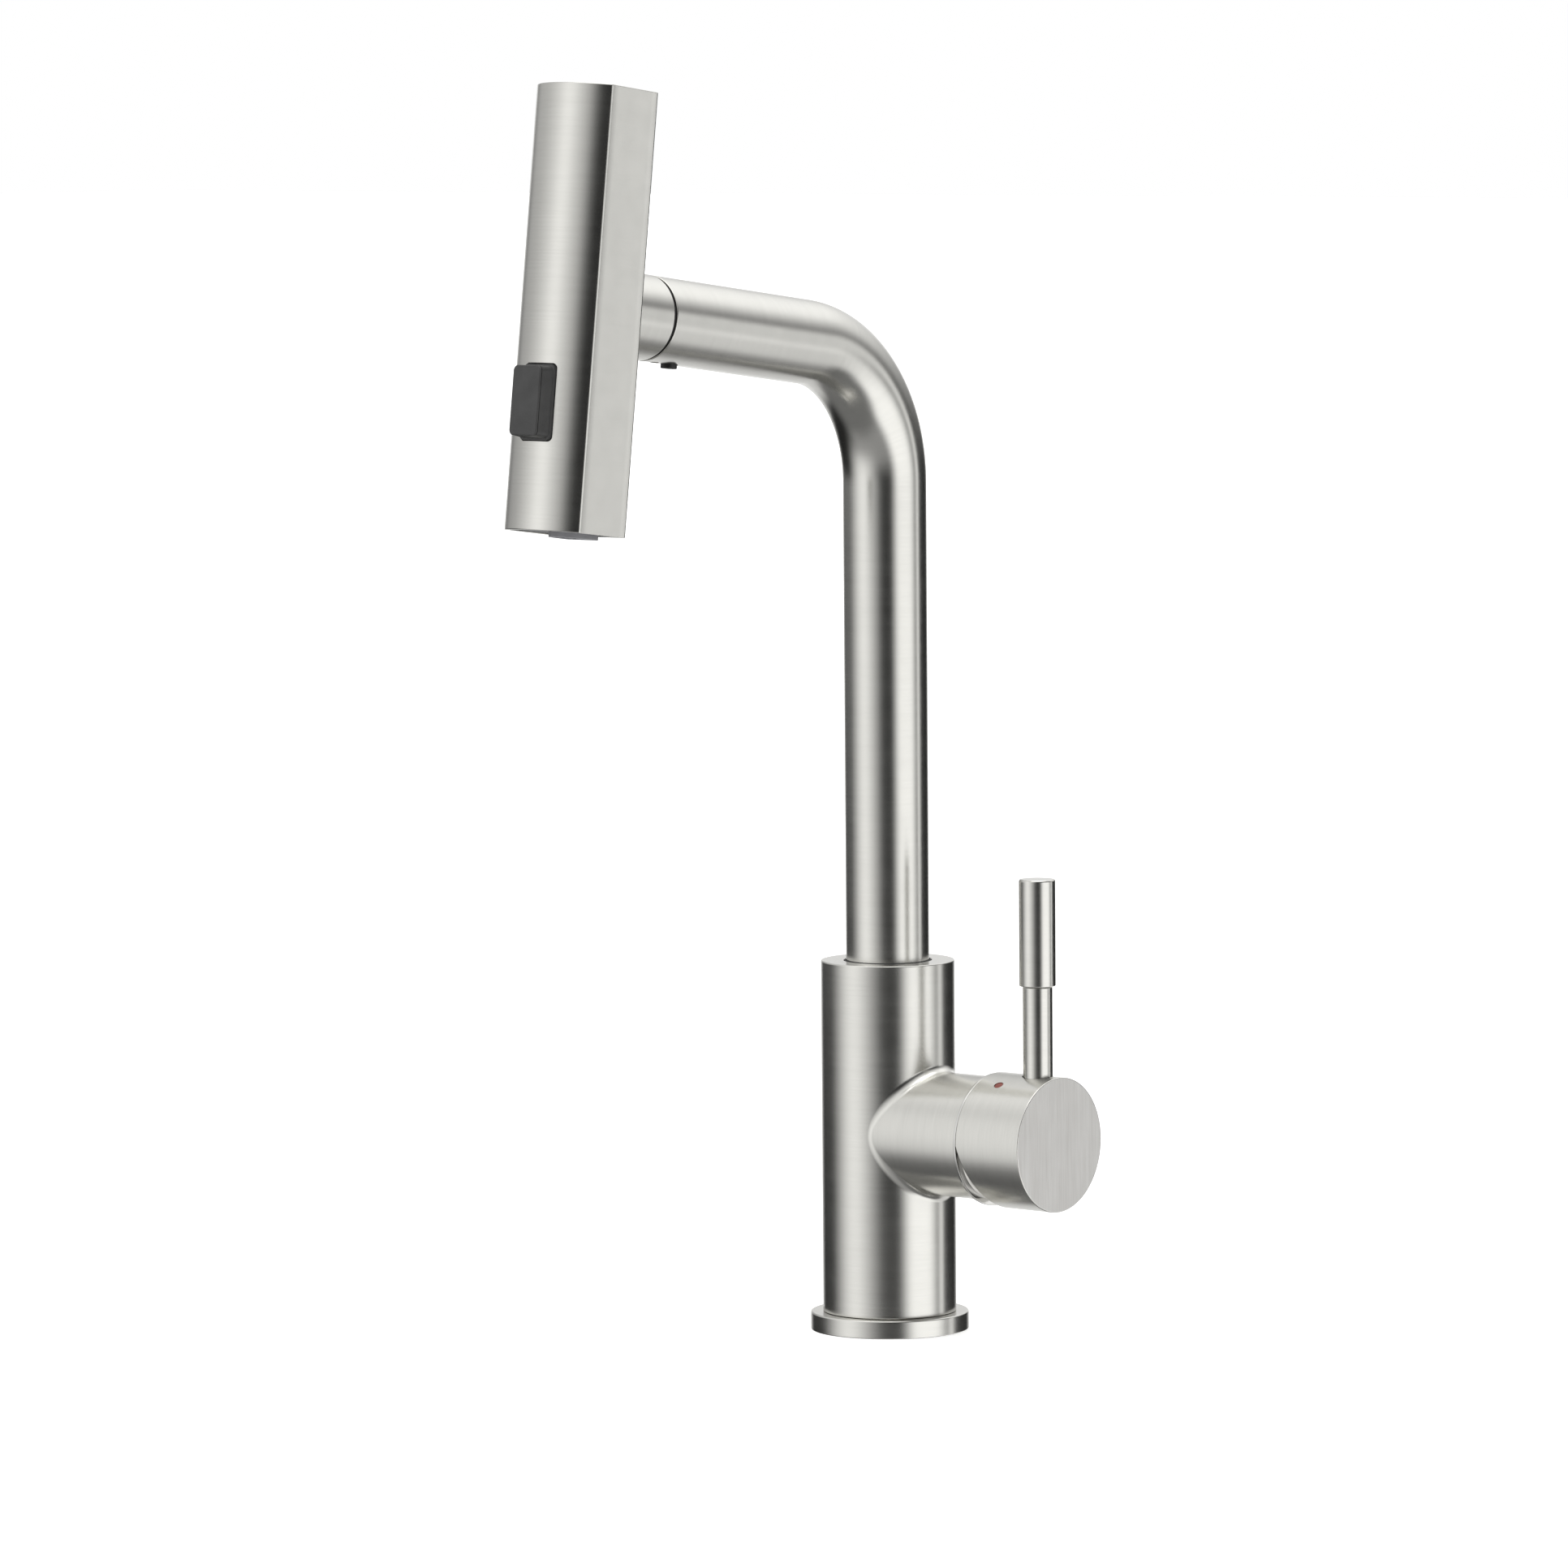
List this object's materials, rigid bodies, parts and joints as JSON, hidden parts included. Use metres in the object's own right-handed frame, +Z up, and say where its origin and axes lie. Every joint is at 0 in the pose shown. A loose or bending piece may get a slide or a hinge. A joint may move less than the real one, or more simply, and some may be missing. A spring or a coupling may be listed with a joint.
{
  "type": "pull down kitchen faucet",
  "caption": "Deck mounted kitchen faucet with a straight round body, a side lever, a swivelling bent spout and a D section spray head that pulls out on its hose.",
  "frame": {"origin": "centre of the base's underside, on the deck plane", "axes": "+Z up the body's axis; -Y the way the spout points at rest; +X along the handle branch"},
  "size_m": [0.111, 0.2313, 0.4671],
  "materials": {
    "body_finish": "brushed round the tube, satin",
    "handle_finish": "brushed round the cap, straight grain on its flat end",
    "head_finish": "brushed across the head, satin",
    "bonnet_finish": "polished",
    "spring_steel": "plain",
    "machined_brass": "machined",
    "alumina": "lapped",
    "charcoal_plastic": "fine matt grain",
    "black_plastic": "moulded",
    "grey_plastic": "moulded",
    "white_plastic": "moulded",
    "black_rubber": "moulded",
    "grey_silicone": "soft, matt",
    "red_enamel": "filled enamel, dull",
    "hose_sheath": "fine braided nylon sheath"
  },
  "bodies": {
    "body": {"base_gasket": "black_rubber", "base_flange": "body_finish", "body_foot": "machined_brass", "body_shell": "body_finish", "valve_chamber": "machined_brass", "hot_water_pipe": "machined_brass", "cold_water_pipe": "machined_brass", "mixed_water_pipe": "machined_brass", "port_seal": "black_rubber", "cartridge_base": "grey_plastic", "fixed_ceramic_disc": "alumina", "cartridge_housing": "grey_plastic", "cartridge_nut": "machined_brass", "bonnet_ring": "bonnet_finish", "swivel_housing": "machined_brass", "lower_swivel_ring": "black_rubber", "upper_swivel_ring": "black_rubber", "wear_washer": "white_plastic", "top_bushing": "grey_plastic", "hose_coupling": "machined_brass"},
    "cartridge_turning_part": {"cartridge_barrel": "white_plastic", "stem_pivot_pin": "spring_steel"},
    "handle": {"handle_cap": "handle_finish", "lever_rod": "handle_finish", "lever_grip": "handle_finish", "handle_set_screw": "spring_steel", "temperature_marker": "red_enamel", "cartridge_stem": "spring_steel"},
    "disc": {"moving_ceramic_disc": "alumina"},
    "spout": {"spout_tube": "body_finish", "spout_foot": "machined_brass", "retaining_clip": "spring_steel", "dock_insert": "black_plastic", "dock_plug": "black_plastic", "dock_screw": "spring_steel", "spray_hose": "hose_sheath"},
    "spray_head": {"dock_seal": "black_rubber", "neck_collar": "body_finish", "hose_ferrule": "spring_steel", "hose_washer": "black_rubber", "hose_swivel_nut": "machined_brass", "check_valve": "white_plastic", "head_shell": "head_finish", "head_core": "white_plastic", "button_guide": "black_plastic", "button_spring": "spring_steel", "outlet_funnel": "black_plastic", "spray_face": "black_plastic", "nozzle_ring": "grey_plastic", "spray_nubs": "grey_silicone", "aerator": "grey_plastic"},
    "button": {"spray_button": "charcoal_plastic"},
    "spool": {"diverter_spool": "grey_plastic"}
  },
  "joints": [
    {"name": "spout_swivel", "type": "hinge", "parent": "body", "child": "spout", "pos_m": [0, 0, 0.12], "axis": [0, 0, 1], "continuous": true},
    {"name": "head_pull", "type": "slide", "parent": "spout", "child": "spray_head", "axis": [0, -0.992, 0.1262], "range_m": [0, 0.25], "deforming": ["spray_hose"]},
    {"name": "handle_turn", "type": "hinge", "parent": "body", "child": "cartridge_turning_part", "pos_m": [0.054, 0, 0.0753], "axis": [1, 0, 0], "range_deg": [-45, 45]},
    {"name": "handle_lift", "type": "hinge", "parent": "cartridge_turning_part", "child": "handle", "pos_m": [0.054, 0, 0.0753], "axis": [0, 1, 0], "range_deg": [0, 18]},
    {"name": "disc_slide", "type": "slide", "parent": "cartridge_turning_part", "child": "disc", "axis": [0, 0, 1], "range_m": [0, 0.0037]},
    {"name": "button_press", "type": "slide", "parent": "spray_head", "child": "button", "axis": [0, 0.992, -0.1262], "range_m": [0, 0.002], "stiffness_N_per_m": 400, "deforming": ["button_spring"]},
    {"name": "spool_shift", "type": "slide", "parent": "spray_head", "child": "spool", "axis": [0, -0.1262, -0.992], "range_m": [0, 0.002]}
  ],
  "couplings": [
    {"joint": "disc_slide", "follows": "handle_lift", "m_per_rad": 0.01177},
    {"joint": "spool_shift", "follows": "button_press", "ratio": 1}
  ]
}
